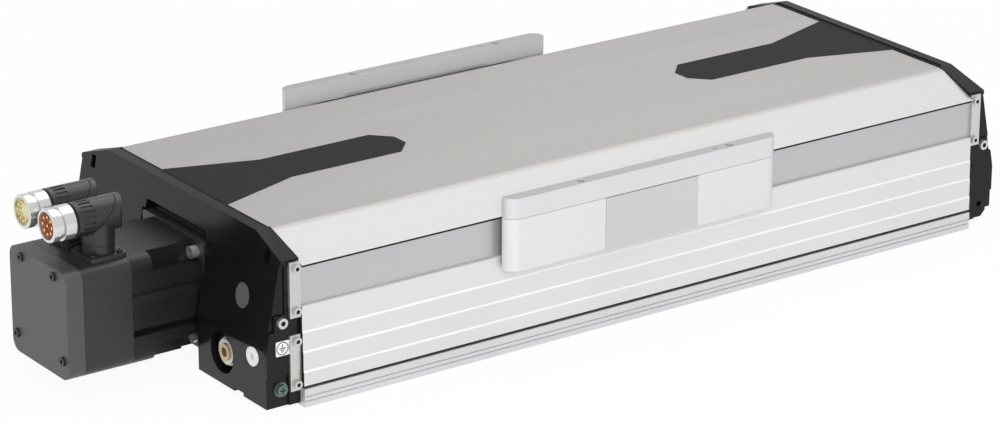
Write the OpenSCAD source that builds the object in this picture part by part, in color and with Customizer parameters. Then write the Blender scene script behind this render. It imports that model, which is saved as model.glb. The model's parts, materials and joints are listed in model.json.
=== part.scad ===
// Enclosed ball screw linear module with a servo motor on its driving end.
// Origin: centre of the base's bottom face. +X runs from the motor end to the idle end, +Z is up.
// The carriage runs on two profile rails inside, and reaches its two outer wings through
// slots along the sides, which thin steel strips keep closed.

/* [Body] */
// Length of the base between the end caps
body_l = 545; // [520:1:900]
// Width over the base plate
base_w = 252; // [250:1:262]
// Thickness of the base plate
base_t = 12; // [10:0.5:14]
// Height of the cover's flat top
cover_h = 107; // [106:0.5:112]
// Width of the sloping strip along each side of the cover
cover_slope_w = 33.5; // [28:0.5:40]
// Wall of the cover
cover_t = 2.5; // [2:0.1:3]
// Height of the cover's lower edge, the top of the side slots
slot_top = 93.3; // [92.5:0.1:95]
// Height of the side panels' upper edge, the bottom of the side slots
slot_bottom = 66; // [63:0.1:67]

/* [Drive] */
// Height of the screw's axis
axis_z = 48; // [47:0.1:48.5]
// Diameter of the ball screw
screw_d = 20; // [16:0.5:20]
// Radial clearance of the ball nut on the screw
nut_clear = 0.06; // [0.02:0.01:0.1]
// Outside diameter of the ball nut
nut_d = 34; // [32:0.5:36]
// Length of the ball nut
nut_l = 55; // [50:1:60]
// Bore of the screw's bearings
bearing_bore = 15; // [12:0.5:15]
// Outside diameter of the screw's bearings
bearing_od = 35; // [33:0.5:36]
// Width of one bearing
bearing_w = 11; // [10:0.5:12]

/* [Guides] */
// Distance of each rail from the base's side
rail_in = 54; // [52:0.5:55]
// Width of the rails
rail_w = 20; // [18:0.5:22]
// Height of the rails
rail_h = 16; // [14:0.5:18]
// Height of the rail seats
rail_z = 42; // [40:0.5:43]
// Height of a bearing block over the rail seat
stack_h = 30; // [29:0.5:31]
// Length of one bearing block
block_l = 68; // [60:1:72]
// Width of one bearing block
block_w = 44; // [40:0.5:46]
// Clearance of the blocks on the rails
rail_clear = 0.08; // [0.05:0.01:0.1]

/* [Carriage] */
// Carriage middle at rest, from the middle of the base
carriage_x = -16.5; // [-100:0.5:100]
// Length of the outer wings
wing_l = 216.6; // [200:0.2:224]
// Thickness of the wings
wing_t = 9.2; // [8:0.1:11]
// Gap between the wings and the base's side planes
wing_gap = 0.5; // [0.4:0.1:2]
// Height of the wings' bottom edge
wing_bottom = 58.2; // [56:0.1:60]
// Height of the wings' top face
wing_top = 107.2; // [106:0.1:110]
// Height of the joint between top bar and lower plates
bar_bottom = 93.6; // [93.3:0.1:95]
// Rounding at the wings' ends
wing_r = 8.6; // [7:0.1:9]
// Length of the metal plate between the strip guides
mid_plate_l = 74.3; // [70:0.1:80]
// Distance between the payload holes along a wing
payload_pitch = 119.8; // [116:0.2:124]
// Radius of the payload holes, tapped M6
payload_r = 2.5; // [2:0.1:3]
// Depth of the payload holes
payload_depth = 12; // [8:0.5:13]
// Thickness of the carriage plate
plate_t = 16; // [15:0.5:18]

/* [End caps] */
// Step from the base's side in to an end cap's side
cap_in = 5; // [3:0.5:6]
// Height of an end cap
cap_h = 108; // [107.5:0.1:112]
// Height of an end cap's foot over the floor
cap_foot = 2; // [1:0.1:5]
// Depth of an end cap below its knee
cap_depth = 24; // [23:0.1:28]
// Depth of an end cap at its top
cap_top_depth = 10.5; // [10:0.1:14]
// Height of the knee, where the face starts to lean back
cap_knee = 40; // [36:0.5:44]
// Height of the cap's upper side corner
cap_corner = 97.5; // [96:0.1:99]
// Width of the sloping corner at each side of a cap
cap_corner_w = 32; // [28:0.5:36]
// Wall of the end caps
cap_wall = 5; // [4:0.1:6]
// Half width of the motor's opening in the driving cap
pocket_half = 40; // [39:0.1:43]
// Top of the motor's opening
pocket_top = 91.5; // [90:0.1:93]

/* [Motor] */
// Side of the square motor housing
motor_w = 71.3; // [68:0.1:72]
// Side of the motor's flange
flange_w = 74; // [72:0.1:76]
// Width of the stator case's faces between its notched corners
stator_w = 52; // [50:0.1:54]
// Motor length behind the module's end
motor_l = 114; // [110:0.5:130]
// Thickness of the rear cover
rear_cover_t = 12; // [10:0.1:14]
// Length of the connector housing
housing_l = 34.5; // [30:0.1:38]
// Bolt circle of the motor's flange screws
flange_pcd = 80; // [78:0.1:82]

/* [Connectors] */
// Distance of each connector from the middle
conn_y = 15.4; // [14.5:0.1:17]
// Radius of the connector bodies
conn_r = 11.2; // [10:0.1:11.4]
// Height of the connector axis over the motor's top
conn_rise = 26.4; // [24:0.1:30]
// Distance of the swivel axis from the module's end
conn_x = 79; // [78:0.1:81]
// Reach of the connector's face from its swivel axis
conn_reach = 36; // [34:0.1:40]

/* [Hidden] */
$fn = 64;
seam = 0.3;
eps = 0.01;
hl = body_l / 2;
half_w = base_w / 2;

// Body
cover_half_w = half_w - 1;
cover_slope = (cover_h - slot_top) / cover_slope_w;
cover_bend_r = 18;
cover_bend_steps = 5;
cover_drop = cover_t * sqrt(1 + cover_slope * cover_slope);
cover_lip = 13;
port_y = half_w - 20.5;
port_r = 4;
port_hole_r = 1.7;
port_z = slot_top + 2.7;
decal_l = 156.3;
decal_half = 39.5;
decal_waist = 19.3;
decal_waist_l = 60.5;
decal_tip = 6.8;
decal_tip_l = 11.8;
pedestal_w = 42;
pedestal_wall = 7;
pedestal_floor = 6;
base_line = 0.8;
panel_half = half_w - 0.5;
panel_step = 0.5;
panel_in = half_w - 5.6;
panel_tops = [22.7, 35.7, 48.7, slot_bottom];
panel_gap = 0.8;
panel_foot_in = half_w - 9;
panel_flange_in = half_w - 12;
panel_flange_t = 4;
panel_ledge = 1.2;
mount_y = half_w - 21;
mount_x = [80, 240];
mount_hole_r = 2.5;
mount_hole_depth = 9;

// Strip seals
strip_t = 0.4;
cap_half = half_w - cap_in;
wing_in = half_w + wing_gap;
strip_y = cap_half + 0.1;
strip_bow = wing_in + 3.3;
strip_z0 = slot_bottom + seam;
strip_z1 = slot_top - seam;
strip_end = 8;
strip_run_in = 44;

// End caps
cap_flat = cap_half - cap_corner_w;
cap_screw_y = port_y;
cap_screw_z = port_z;
cap_slot_w = 5.4;
cap_slot_h = 8.4;
cap_side_cut = 1.2;
cap_side_cut_in = 10.5;
cap_side_z = [22.5, 62.5];
side_notch_z = [52, 62.5];
side_notch_l = 3.6;
seal_groove_w = 3.2;
seal_groove_d = 1.2;
window_half = 36.6;
window_bottom = 80;
window_r = 2.4;
rear_foot = 4;
rear_foot_z = 10;
rear_foot_in = 4;
notch_y = [cap_half - 38.5, cap_half - 28];
notch_h = 2.2;
cavity_top = 87;
cavity_half = cap_half - 6;
cavities = 2;
rib_t = 3;
rib_pitch = (2 * cavity_half + rib_t) / cavities;
clamp_w = strip_end;
clamp_t = 1.8;
seal_clamp_z = [59.6, 96];
panel_clamp_z = [11.2, 48.2];
clamp_screw_x = 3.4;
clamp_screw_in = 4.2;
clamp_screw_r = 1.5;
side_screw_x = 13.2;
side_screw_z = 57.8;
side_hole_r = 1.6;
ground_x = 14;
ground_z = 13.6;
ground_hole_r = 2.1;
round_plug_y = -pocket_half - 45.5;
round_plug_z = 65.6;
round_plug_r = 8;
fitting_y = -pocket_half - 28.5;
fitting_z = 22.8;
fitting_bore_r = 13.4;
fitting_depth = 7;
fitting_r = 9.2;
lube_y = -cap_half + 15.7;
lube_z = 33;
lube_r = 5.8;

// Drive
bracket_half = 34;
bracket_top = 69;
bracket_l = 44;
bell_wall = 4;
bell_r = 19.4;
adapter_t = 9;
flange_t = 8;
pilot_r = 25;
pilot_t = 2.4;
block_t = 40;
lock_t = 8;
lock_r = 12.4;
ring_wall = 3.2;
ball_r = (bearing_od / 2 - bearing_bore / 2 - 2 * ring_wall) / 2 - 0.03;
race_r = (bearing_od + bearing_bore) / 4;
balls = 10;
shoulder = 4;
idle_l = 26;
idle_in = 10;
hub_r = 16;
hub_l = 15;
spider_t = 6;
hub_x = -4;
motor_shaft_r = 7;
journal_r = 6;
rotor_r = 20;

// Carriage
plate_z = rail_z + stack_h;
plate_in = 23.3;
plate_l = wing_l - 2 * plate_in;
rail_y = half_w - rail_in;
plate_side = 22;
plate_half = half_w - plate_side;
block_x = plate_l / 2 - block_l / 2 - 3;
block_gap = 3;
rail_end = 8;
rail_first = 24.5;
rail_bolts = 9;
rail_pitch = (body_l - 2 * (rail_end + rail_first)) / (rail_bolts - 1);
rail_screw_r = 2.4;
rail_head_r = 4.4;
rail_head_h = 5;
block_screw_dx = 18;
block_screw_dy = 15;
block_screw_r = 2.5;
bracket_w = 68;
nut_bracket_l = 40;
nut_flange_t = 10;
nut_flange_r = 26.5;
nut_flat = 20;
nut_pcd_r = 22;
nut_screw_r = 2.08;
nut_screw_in = 10;
nut_head_r = 3.4;
nut_head_h = 4;
arm_t = plate_t;
strip_lead = 3;
arm_l = wing_l - 2 * (strip_lead + strip_run_in) - 6;
riser_t = 2.6;
guide_step = 0.3;
mid_x = 4.25;
payload_x = 9.9;
dowel_dx = 11.5;
dowel_r = 1.5;
wing_y = wing_in + wing_t;
hole_y = wing_in + 4.7;
bumper_r = 9;
bumper_l = 14;
bumper_y = 50;
bumper_post = 20;

// Motor
seam_1 = -motor_l + rear_cover_t;
seam_2 = seam_1 + housing_l;
stator_step = -52.5;
motor_r = 8;
flange_back = -adapter_t - flange_t;
motor_top = axis_z + motor_w / 2;
flange_top = axis_z + flange_w / 2;
notch_floor = 24;
groove_rib = [5.6, -11.2];
groove_out = [12.2, -16.2];
groove_d = 3.6;
groove_lip = 0.6;
line_rib = 21.1;
line_out = 23.4;
line_d = 0.9;
cover_screws_at = [[20.5, 30.4], [29, -23]];
cover_screw_r = 1.58;
cover_head_r = 3;
cover_head_h = 1.6;
cover_screw_l = 5;
pocket_r = 5;
screw_pocket_l = 12;
conn_axis_z = motor_top + conn_rise;
barrel_l = 20.7;
conn_plate_w = 26;
conn_plate_t = 3;
conn_screw_in = 3.6;
stem_r = 10.4;
insert_r = 8.9;
insert_in = 3.2;
parting_w = 0.6;
flutes = 20;
flute_l = 7;
flute_w = 1.6;
flute_d = 0.7;
pin_r = 0.9;
pin_out = 2.4;

// Shared shapes

// Extrudes a Y-Z outline along +X.
module extrude_x(l) {
    rotate([90, 0, 90]) linear_extrude(l) children();
}

// Extrudes an X-Z outline along Y, centred on Y = 0.
module extrude_y(w) {
    rotate([90, 0, 0]) linear_extrude(w, center = true) children();
}

module both_sides() {
    children();
    mirror([0, 1, 0]) children();
}

module at_front() {
    translate([-hl, 0, 0]) children();
}

module at_rear() {
    translate([hl, 0, 0]) mirror([1, 0, 0]) children();
}

module round_square(w, h, r) {
    square([w - 2 * r, h], center = true);
    square([w, h - 2 * r], center = true);
    for (x = [-1, 1], y = [-1, 1]) translate([x * (w / 2 - r), y * (h / 2 - r)]) circle(r);
}

// Square bar along X, from x0 to x1, centred on the screw's axis.
module drive_bar(w, r, x0, x1) {
    translate([x0, 0, axis_z]) extrude_x(x1 - x0) round_square(w, w, r);
}

// Cylinder along X on the screw's axis.
module drive_rod(r, x0, x1) {
    translate([x0, 0, axis_z]) rotate([0, 90, 0]) cylinder(r = r, h = x1 - x0);
}

module drive_ring(r_out, r_in, x0, x1) {
    difference() {
        drive_rod(r_out, x0, x1);
        drive_rod(r_in, x0 - 1, x1 + 1);
    }
}

// Socket-head screw: head above z = 0, shank below it.
module socket_screw(r, head_r, head_h, l) {
    difference() {
        union() {
            cylinder(r = head_r, h = head_h);
            translate([0, 0, -l]) cylinder(r = r, h = l + head_h / 2);
        }
        translate([0, 0, head_h * 0.45]) cylinder(r = head_r * 0.52, h = head_h, $fn = 6);
    }
}

// Body

function panel_face(i) = panel_half - panel_step * i;

module base_profile() {
    difference() {
        union() {
            translate([-base_w / 2, 0]) square([base_w, base_t]);
            for (s = [-1, 1]) {
                translate([s * rail_y - pedestal_w / 2, base_t - 1])
                    square([pedestal_w, rail_z - base_t + 1]);
            }
        }
        for (s = [-1, 1]) {
            translate([s * rail_y - pedestal_w / 2 + pedestal_wall, pedestal_floor])
                square([pedestal_w - 2 * pedestal_wall, rail_z - pedestal_floor - pedestal_wall]);
            for (z = [base_t * 0.33, base_t * 0.58]) {
                translate([s * base_w / 2 - base_line, z - base_line / 2])
                    square([2 * base_line, base_line]);
            }
        }
    }
}

module base_extrusion() {
    color("gainsboro") difference() {
        translate([-hl, 0, 0]) extrude_x(body_l) base_profile();
        for (x = rail_holes(), y = [-rail_y, rail_y]) {
            translate([x, y, rail_z - pedestal_wall - 1])
                cylinder(r = rail_screw_r, h = pedestal_wall + 2);
        }
        for (x = mount_x, sx = [-1, 1], sy = [-1, 1]) {
            translate([sx * x, sy * mount_y, -1])
                cylinder(r = mount_hole_r, h = mount_hole_depth + 1);
        }
    }
}

// A side panel's outline: stepped outer face with sloping ledges, top flange and foot.
module panel_profile() {
    polygon(concat([[-panel_in, base_t + panel_gap], [-panel_face(0), base_t + panel_gap]], [
        for (i = [0:3]) each [
            [-panel_face(i), i == 0 ? base_t + 2 * panel_gap : panel_tops[i - 1] + panel_ledge],
            [-panel_face(i), panel_tops[i]],
        ]
    ], [
        [-panel_flange_in, slot_bottom], [-panel_flange_in, slot_bottom - panel_flange_t],
        [-panel_in, slot_bottom - panel_flange_t], [-panel_in, base_t + panel_flange_t],
        [-panel_foot_in, base_t + panel_flange_t], [-panel_foot_in, base_t],
        [-panel_in, base_t],
    ]));
}

module side_panel() {
    color("whitesmoke") translate([-hl, 0, 0]) extrude_x(body_l) panel_profile();
}

// Heights of the cover's sloping part at distance y from the middle, outside and inside.
function cover_z(y) = slot_top + cover_slope * (cover_half_w - y);

function cover_in_z(y) = cover_z(y) - cover_drop;

// Outline of the cover on one side, from the top's bend round to the inner face.
function cover_side() = let (
    inner_edge = cover_half_w - cover_lip,
    turn = atan(cover_slope),
    bend_y = cover_half_w - cover_slope_w - cover_bend_r * tan(turn / 2),
    inner_bend = cover_half_w - (cover_h - cover_t + cover_drop - slot_top) / cover_slope
) concat([
    for (i = [0:cover_bend_steps]) let (a = turn * i / cover_bend_steps)
        [bend_y + cover_bend_r * sin(a), cover_h - cover_bend_r * (1 - cos(a))]
], [
    [cover_half_w, slot_top], [inner_edge, slot_top], [inner_edge, cover_in_z(inner_edge)],
    // Boss of the end caps' screws
    [port_y + port_r, cover_in_z(port_y + port_r)], [port_y + port_r, port_z - port_r],
    [port_y - port_r, port_z - port_r], [port_y - port_r, cover_in_z(port_y - port_r)],
    [inner_bend, cover_h - cover_t],
]);

module cover_profile() {
    side = cover_side();
    difference() {
        polygon(concat(side, [for (i = [len(side) - 1:-1:0]) [-side[i][0], side[i][1]]]));
        for (s = [-1, 1]) translate([s * port_y, port_z]) circle(port_hole_r);
    }
}

module top_cover() {
    color("silver") translate([-hl, 0, 0]) extrude_x(body_l) cover_profile();
}

// Flat black end panels: wide at the cap, waisted, with a chamfered tip.
module end_decals() {
    outline = [
        [0, decal_half], [decal_waist_l, decal_waist], [decal_l - decal_tip_l, decal_waist],
        [decal_l, decal_tip], [decal_l, -decal_tip], [decal_l - decal_tip_l, -decal_waist],
        [decal_waist_l, -decal_waist], [0, -decal_half],
    ];
    color("dimgray") for (s = [0, 1]) mirror([s, 0, 0]) {
        translate([-hl, 0, cover_h]) linear_extrude(seam) polygon(outline);
    }
}

// Strip seals

// Plan outline of a strip: along the slot, out and round the carriage, and back.
function strip_path() = [
    for (p = [
        [-hl - strip_end, 0], [carriage_x - wing_l / 2 + strip_lead, 0],
        [carriage_x - wing_l / 2 + strip_lead + strip_run_in, 1],
        [carriage_x + wing_l / 2 - strip_lead - strip_run_in, 1],
        [carriage_x + wing_l / 2 - strip_lead, 0], [hl + strip_end, 0],
    ]) [p[0], -strip_y - p[1] * (strip_bow - strip_y)]
];

module seal_strip() {
    outer = [for (p = strip_path()) [p[0], p[1] - strip_t]];
    inner = strip_path();
    color("lightsteelblue") difference() {
        translate([0, 0, strip_z0]) linear_extrude(strip_z1 - strip_z0)
            polygon(concat(inner, [for (i = [len(outer) - 1:-1:0]) outer[i]]));
        for (e = [-1, 1], z = seal_clamp_z) translate([
            e * (hl + clamp_screw_x), -strip_y + 1,
            z + (z == seal_clamp_z[0] ? 1 : -1) * clamp_screw_in,
        ]) rotate([90, 0, 0]) cylinder(r = clamp_screw_r + 0.1, h = 3);
    }
}

// End caps

module cap_outline() {
    polygon([
        [-cap_half, cap_foot], [-cap_half, cap_corner], [-cap_flat, cap_h],
        [cap_flat, cap_h], [cap_half, cap_corner], [cap_half, cap_foot],
    ]);
}

// Depth outline of a cap, grown outwards by g, seen along Y. X = 0 is the module's end.
module cap_side(g) {
    polygon([
        [0, cap_foot - g], [-cap_depth - g, cap_foot - g], [-cap_depth - g, cap_knee],
        [-cap_top_depth - g, cap_h], [0, cap_h],
    ]);
}

module cap_block(g) {
    intersection() {
        translate([-cap_depth - 1, 0, 0]) extrude_x(cap_depth + 1) cap_outline();
        extrude_y(2 * base_w) cap_side(g);
    }
}

// Hollow behind the face, between y0 and y1, open towards the module.
module cap_cavity(y0, y1) {
    lean = (cap_depth - cap_top_depth) / (cap_h - cap_knee);
    back = cap_depth - cap_wall;
    top_back = back - lean * (cavity_top - cap_knee);
    translate([0, (y0 + y1) / 2, 0]) extrude_y(y1 - y0) polygon([
        [1, cap_foot + cap_wall], [-back, cap_foot + cap_wall], [-back, cap_knee],
        [-top_back, cavity_top], [1, cavity_top],
    ]);
}

function cap_face(z) = z < cap_knee ? cap_depth
    : cap_depth - (cap_depth - cap_top_depth) * (z - cap_knee) / (cap_h - cap_knee);

module cap_shell() {
    difference() {
        cap_block(0);
        for (s = [-1, 1]) {
            translate([-cap_depth - 1, s * cap_screw_y, cap_screw_z])
                extrude_x(cap_depth + 1 - 4) round_square(cap_slot_w, cap_slot_h, 1.2);
            translate([-5, s * cap_screw_y, cap_screw_z]) rotate([0, 90, 0])
                cylinder(r = port_hole_r + 0.3, h = 6);
            // Shallow side recesses above and below the clamp bosses
            translate([-cap_depth - 1, s * (cap_half + 1 - cap_side_cut), 0]) {
                translate([0, -1, cap_side_z[1]])
                    cube([cap_depth + 1 - cap_side_cut_in, 2, cap_corner - cap_side_z[1] - 3]);
                translate([-1, -1, cap_foot - 1])
                    cube([cap_depth + 2 - clamp_w - 0.4, 2, cap_side_z[0] - cap_foot + 1]);
            }
            // Notch beside the side screw, in the front edge
            translate([-cap_depth - 1, s * (cap_half + 1) - 3, side_notch_z[0]])
                cube([1 + side_notch_l + cap_depth - cap_face(side_notch_z[0]), 6,
                      side_notch_z[1] - side_notch_z[0]]);
            translate([-cap_depth - 1, min(s * notch_y[0], s * notch_y[1]), 0])
                cube([cap_depth + 2, notch_y[1] - notch_y[0], cap_foot + notch_h]);
            for (z = clamp_screw_heights())
                translate([-clamp_screw_x, s * (cap_half + 1), z])
                    rotate([s * 90, 0, 0]) cylinder(r = clamp_screw_r, h = cap_wall + 1.5);
            translate([-side_screw_x, s * (cap_half + 1), side_screw_z])
                rotate([s * 90, 0, 0]) cylinder(r = side_hole_r, h = cap_wall);
        }
        // Groove of the cover's end seal
        translate([-seal_groove_w, -cap_flat, cap_h - seal_groove_d])
            cube([seal_groove_w + 1, 2 * cap_flat, 2 * seal_groove_d]);
        translate([-ground_x, -cap_half - 1, ground_z]) rotate([-90, 0, 0])
            cylinder(r = ground_hole_r, h = cap_wall + 1);
    }
}

function clamp_screw_heights() = [
    seal_clamp_z[0] + clamp_screw_in, seal_clamp_z[1] - clamp_screw_in,
    panel_clamp_z[0] + clamp_screw_in, panel_clamp_z[1] - clamp_screw_in,
];

module bumper_posts() {
    for (s = [-1, 1]) {
        translate([-cap_wall, s * bumper_y, plate_z + plate_t / 2]) rotate([0, 90, 0])
            cylinder(r = bumper_r, h = bumper_post + cap_wall);
    }
}

module front_end_cap() {
    color("#2c2c2d") at_front() {
        difference() {
            union() {
                difference() {
                    cap_shell();
                    for (s = [0, 1]) mirror([0, s, 0]) cap_cavity(pocket_half + 8, cavity_half);
                }
                // Bosses that the fittings screw into
                intersection() {
                    cap_block(0);
                    for (p = [[fitting_y, fitting_z, fitting_bore_r + 3],
                              [lube_y, lube_z, lube_r + 3],
                              [round_plug_y, round_plug_z, round_plug_r + 3]])
                        translate([-cap_depth, p[0], p[1]]) rotate([0, 90, 0])
                            cylinder(r = p[2], h = cap_depth - 2);
                }
                bumper_posts();
            }
            // Opening for the motor
            translate([-cap_depth - 1, -pocket_half, -1])
                cube([cap_depth + 2, 2 * pocket_half, flange_top + 1.3]);
            translate([-cap_depth - 1, 0, (window_bottom + pocket_top) / 2])
                extrude_x(cap_depth + 2)
                    round_square(2 * window_half, pocket_top - window_bottom, window_r);
            translate([-cap_depth - 1, fitting_y, fitting_z]) rotate([0, 90, 0])
                cylinder(r = fitting_bore_r, h = fitting_depth + 1);
            translate([-cap_depth - 1, lube_y, lube_z]) rotate([0, 90, 0])
                cylinder(r = lube_r, h = 9);
            translate([-cap_depth - 1, round_plug_y, round_plug_z]) rotate([0, 90, 0])
                cylinder(r = round_plug_r, h = 13);
        }
    }
}

module rear_end_cap() {
    color("#2c2c2d") at_rear() {
        difference() {
            cap_shell();
            for (i = [0:cavities - 1]) cap_cavity(
                -cavity_half + i * rib_pitch, -cavity_half + (i + 1) * rib_pitch - rib_t);
            // The foot is set back and bevelled
            extrude_y(2 * base_w) polygon([
                [-cap_depth - 1, 0], [-cap_depth - 1, rear_foot_z],
                [-cap_depth + rear_foot_in, rear_foot_z],
                [-cap_depth + rear_foot_in, rear_foot + rear_foot_in],
                [-cap_depth + 2 * rear_foot_in, rear_foot], [1, rear_foot], [1, 0],
            ]);
        }
        bumper_posts();
    }
}

module cap_screws() {
    color("gray") for (s = [-1, 1]) {
        for (e = [0, 1]) mirror([e, 0, 0]) translate([-hl - 4, s * cap_screw_y, cap_screw_z])
            rotate([0, -90, 0]) socket_screw(port_hole_r - 0.05, 2.6, 2.6, 12);
    }
}

// Plate with two screw holes on a cap's side, between two heights.
module clamp(z) {
    difference() {
        translate([-clamp_w, -cap_half - clamp_t - strip_t - 0.1, z[0]])
            cube([clamp_w - 0.2, clamp_t, z[1] - z[0]]);
        for (h = [z[0] + clamp_screw_in, z[1] - clamp_screw_in])
            translate([-clamp_screw_x, -cap_half - 4, h]) rotate([-90, 0, 0])
                cylinder(r = clamp_screw_r + 0.1, h = 6);
    }
}

module seal_clamps() {
    color("silver") both_sides() {
        at_front() clamp(seal_clamp_z);
        at_rear() clamp(seal_clamp_z);
    }
}

module panel_clamps() {
    color("silver") both_sides() at_front() translate([0, strip_t + 0.1, 0])
        clamp(panel_clamp_z);
}

module clamp_screw_at(z, y) {
    translate([-clamp_screw_x, y, z]) rotate([90, 0, 0])
        socket_screw(clamp_screw_r - 0.02, 2.8, 2, cap_wall + 1);
}

module clamp_screws() {
    seat = -cap_half - clamp_t;
    h = clamp_screw_heights();
    color("lightgray") both_sides() {
        for (i = [0, 1]) {
            at_front() clamp_screw_at(h[i], seat - strip_t - 0.1);
            at_rear() clamp_screw_at(h[i], seat - strip_t - 0.1);
        }
        for (i = [2, 3]) at_front() clamp_screw_at(h[i], seat);
    }
}

module side_screws() {
    color("lightgray") for (e = [0, 1], s = [0, 1]) mirror([e, 0, 0]) mirror([0, s, 0])
        translate([-hl - side_screw_x, -cap_half, side_screw_z]) rotate([90, 0, 0])
            socket_screw(side_hole_r - 0.02, 3.4, 2.6, cap_wall - 1);
}

module ground_screw() {
    seat = -cap_half + cap_side_cut;
    color("seagreen") at_front() translate([-ground_x, seat, ground_z]) rotate([90, 0, 0]) {
        difference() {
            union() {
                cylinder(r = 4.8, h = 1);
                translate([0, 0, 1]) cylinder(r = 3.6, h = 2.4);
                translate([0, 0, -3]) cylinder(r = ground_hole_r - 0.05, h = 4);
            }
            for (a = [0, 90]) rotate(a) translate([-2.4, -0.4, 2]) cube([4.8, 0.8, 2]);
        }
    }
}

// Flush plug, cut to the lean of the cap's face.
module round_plug() {
    color("gray") at_front() intersection() {
        translate([-cap_depth, round_plug_y, round_plug_z]) rotate([0, 90, 0])
            cylinder(r = round_plug_r - 0.05, h = 12);
        translate([0.4, 0, 0]) cap_block(0);
    }
}

module air_fitting() {
    color("gainsboro") at_front()
        translate([-cap_depth + fitting_depth, fitting_y, fitting_z]) rotate([0, -90, 0])
            difference() {
                union() {
                    cylinder(r = fitting_r, h = 2.6);
                    translate([0, 0, 2.6]) cylinder(r = fitting_r - 0.8, h = 1.6);
                }
                translate([0, 0, 1]) cylinder(r = 5.6, h = 5);
            }
}

module air_fitting_collet() {
    color("peru") at_front()
        translate([-cap_depth + fitting_depth - 1, fitting_y, fitting_z]) rotate([0, -90, 0])
            difference() {
                cylinder(r = 5.55, h = 4.4);
                translate([0, 0, 0.8]) cylinder(r = 3.1, h = 5);
            }
}

module lube_plug() {
    color("white") at_front() translate([-cap_depth + 8, lube_y, lube_z])
        rotate([0, -90, 0]) difference() {
            union() {
                cylinder(r = lube_r - 0.05, h = 8);
                translate([0, 0, 8]) cylinder(r = lube_r + 0.4, h = 1.2);
            }
            translate([0, 0, 6]) cylinder(r = 2.2, h = 5);
        }
}

// Guides

function rail_holes() = [for (i = [0:rail_bolts - 1]) (i - (rail_bolts - 1) / 2) * rail_pitch];

// Rail section, with clearance g added all round.
module rail_section(g) {
    w = rail_w / 2 + g;
    waist = w - 2;
    h = rail_h + g;
    polygon([
        [-w, 0], [w, 0], [w, rail_h * 0.3 - g], [waist, rail_h * 0.42], [waist, rail_h * 0.62],
        [w, rail_h * 0.74 - g], [w, h - 1], [w - 1, h], [-w + 1, h], [-w, h - 1],
        [-w, rail_h * 0.74 - g], [-waist, rail_h * 0.62], [-waist, rail_h * 0.42],
        [-w, rail_h * 0.3 - g],
    ]);
}

module rail() {
    color("slategray") translate([0, -rail_y, rail_z]) difference() {
        translate([-hl + rail_end, 0, 0]) extrude_x(body_l - 2 * rail_end) rail_section(0);
        for (x = rail_holes()) translate([x, 0, -1]) {
            cylinder(r = rail_screw_r + 0.3, h = rail_h + 2);
            translate([0, 0, rail_h + 1 - rail_head_h - 2])
                cylinder(r = rail_head_r + 0.4, h = rail_head_h + 4);
        }
    }
}

module rail_screws() {
    color("dimgray") for (x = rail_holes(), y = [-rail_y, rail_y])
        translate([x, y, rail_z + rail_h - rail_head_h - 2])
            socket_screw(rail_screw_r - 0.02, rail_head_r, rail_head_h,
                         rail_h - rail_head_h - 2 + pedestal_wall);
}

module at_carriage() {
    translate([carriage_x, 0, 0]) children();
}

module rail_block() {
    difference() {
        translate([-block_l / 2, -block_w / 2, rail_z + block_gap])
            cube([block_l, block_w, stack_h - block_gap]);
        translate([-block_l / 2 - 1, 0, rail_z]) extrude_x(block_l + 2)
            rail_section(rail_clear);
        for (x = [-1, 1], y = [-1, 1])
            translate([x * block_screw_dx, y * block_screw_dy, plate_z - 9])
                cylinder(r = block_screw_r, h = 10);
    }
}

module rail_blocks() {
    color("darkslategray") at_carriage() for (x = [-1, 1], y = [-1, 1])
        translate([x * block_x, y * rail_y, 0]) rail_block();
}

module at_block_screws() {
    for (x = [-1, 1], y = [-1, 1], dx = [-1, 1], dy = [-1, 1])
        translate([x * block_x + dx * block_screw_dx, y * rail_y + dy * block_screw_dy, 0])
            children();
}

module carriage_plate() {
    color("silver") at_carriage() difference() {
        translate([-plate_l / 2, -plate_half, plate_z]) cube([plate_l, 2 * plate_half, plate_t]);
        at_block_screws() {
            translate([0, 0, plate_z - 1]) cylinder(r = block_screw_r + 0.3, h = plate_t);
            translate([0, 0, plate_z + plate_t - 6]) cylinder(r = 4.8, h = 8);
        }
    }
}

module block_screws() {
    color("dimgray") at_carriage() at_block_screws()
        translate([0, 0, plate_z + plate_t - 6])
            socket_screw(block_screw_r - 0.02, 4.4, 5, plate_t - 6 + 8);
}

module nut_bracket() {
    color("silver") at_carriage() difference() {
        translate([-nut_bracket_l / 2, -bracket_w / 2, axis_z - nut_d / 2 - 6])
            cube([nut_bracket_l, bracket_w, plate_z - axis_z + nut_d / 2 + 6]);
        drive_rod(nut_d / 2 + 0.03, -nut_bracket_l, nut_bracket_l);
        at_nut_screws() translate([0, 0, -nut_screw_in - 2])
            cylinder(r = nut_screw_r + 0.02, h = nut_screw_in + 4);
    }
}

// Nut screw places: local +Z points out of the flange, towards the motor.
module at_nut_screws() {
    for (s = [0, 180], a = [-38, 0, 38]) translate([-nut_bracket_l / 2, 0, axis_z])
        rotate([s + a, 0, 0]) translate([0, nut_pcd_r, 0]) rotate([0, -90, 0]) children();
}

module ball_nut() {
    flange_x = -nut_bracket_l / 2 - nut_flange_t;
    color("gray") at_carriage() difference() {
        union() {
            drive_rod(nut_d / 2, flange_x, flange_x + nut_l);
            intersection() {
                drive_rod(nut_flange_r, flange_x, flange_x + nut_flange_t);
                translate([flange_x - 1, -nut_flange_r, axis_z - nut_flat])
                    cube([nut_flange_t + 2, 2 * nut_flange_r, 2 * nut_flat]);
            }
        }
        drive_rod(screw_d / 2 + nut_clear, flange_x - 1, flange_x + nut_l + 1);
        at_nut_screws() translate([0, 0, -1])
            cylinder(r = nut_screw_r + 0.3, h = nut_flange_t + 2);
    }
}

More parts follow.
